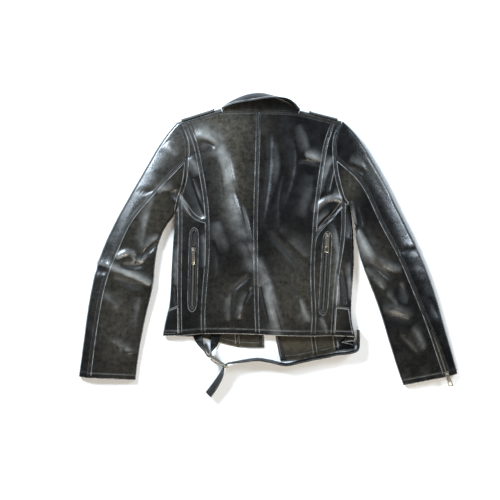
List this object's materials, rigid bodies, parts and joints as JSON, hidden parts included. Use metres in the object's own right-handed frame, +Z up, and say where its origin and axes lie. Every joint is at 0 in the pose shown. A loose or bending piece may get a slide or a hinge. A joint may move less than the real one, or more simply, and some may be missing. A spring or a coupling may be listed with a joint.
{
  "type": "leather biker jacket laid flat",
  "caption": "Cropped leather biker jacket lying face down with its back up, sleeves spread, zipped gussets and cuff, collar folded up, waist belt buckled along the hem.",
  "frame": {"origin": "on the surface the jacket lies on, under the middle of its bounding box", "axes": "+X from the wearer's left sleeve to the right one, +Y from the hem to the collar, +Z up through the back"},
  "size_m": [0.875, 0.7023, 0.0504],
  "materials": {
    "leather": "satin, worn",
    "facing": "matte",
    "zip_tape": "woven",
    "metal": "aged, satin"
  },
  "bodies": {
    "jacket": {"back_left": "leather", "back_right": "leather", "side_back_left": "leather", "side_back_right": "leather", "zip_panel_left": "leather", "zip_panel_right": "leather", "side_left": "leather", "side_right": "leather", "hem_band_left": "leather", "hem_band_right": "leather", "shoulder_strap_left": "leather", "shoulder_strap_right": "leather", "top_sleeve_left": "leather", "top_sleeve_right": "leather", "under_sleeve_left": "leather", "under_sleeve_right": "leather", "collar": "leather", "collar_end_left": "leather", "collar_end_right": "leather", "belt": "leather", "buckle_strap": "leather", "front_side_left": "facing", "front_side_right": "facing", "front_left": "facing", "front_right": "facing", "zip_tape_left": "zip_tape", "zip_tape_right": "zip_tape", "zip_tape_cuff": "zip_tape", "front_zip_left": "zip_tape", "front_zip_right": "zip_tape", "slider_left": "metal", "slider_right": "metal", "slider_cuff": "metal", "buckle_frame": "metal", "buckle_prong": "metal"},
    "tab_left": {"pull_left": "metal"},
    "tab_right": {"pull_right": "metal"},
    "tab_cuff": {"pull_cuff": "metal"}
  },
  "joints": [
    {"name": "tab_left_hinge", "type": "hinge", "parent": "jacket", "child": "tab_left", "pos_m": [-0.1723, -0.01288, 0.02483], "axis": [-0.9996, 0.0266, 0], "range_deg": [0, 160]},
    {"name": "tab_right_hinge", "type": "hinge", "parent": "jacket", "child": "tab_right", "pos_m": [0.13562, 0.02046, 0.02781], "axis": [-0.9983, 0.0587, 0], "range_deg": [0, 160]},
    {"name": "tab_cuff_hinge", "type": "hinge", "parent": "jacket", "child": "tab_cuff", "pos_m": [0.41055, -0.29781, 0.02022], "axis": [-0.9473, -0.3203, 0], "range_deg": [0, 160]}
  ]
}
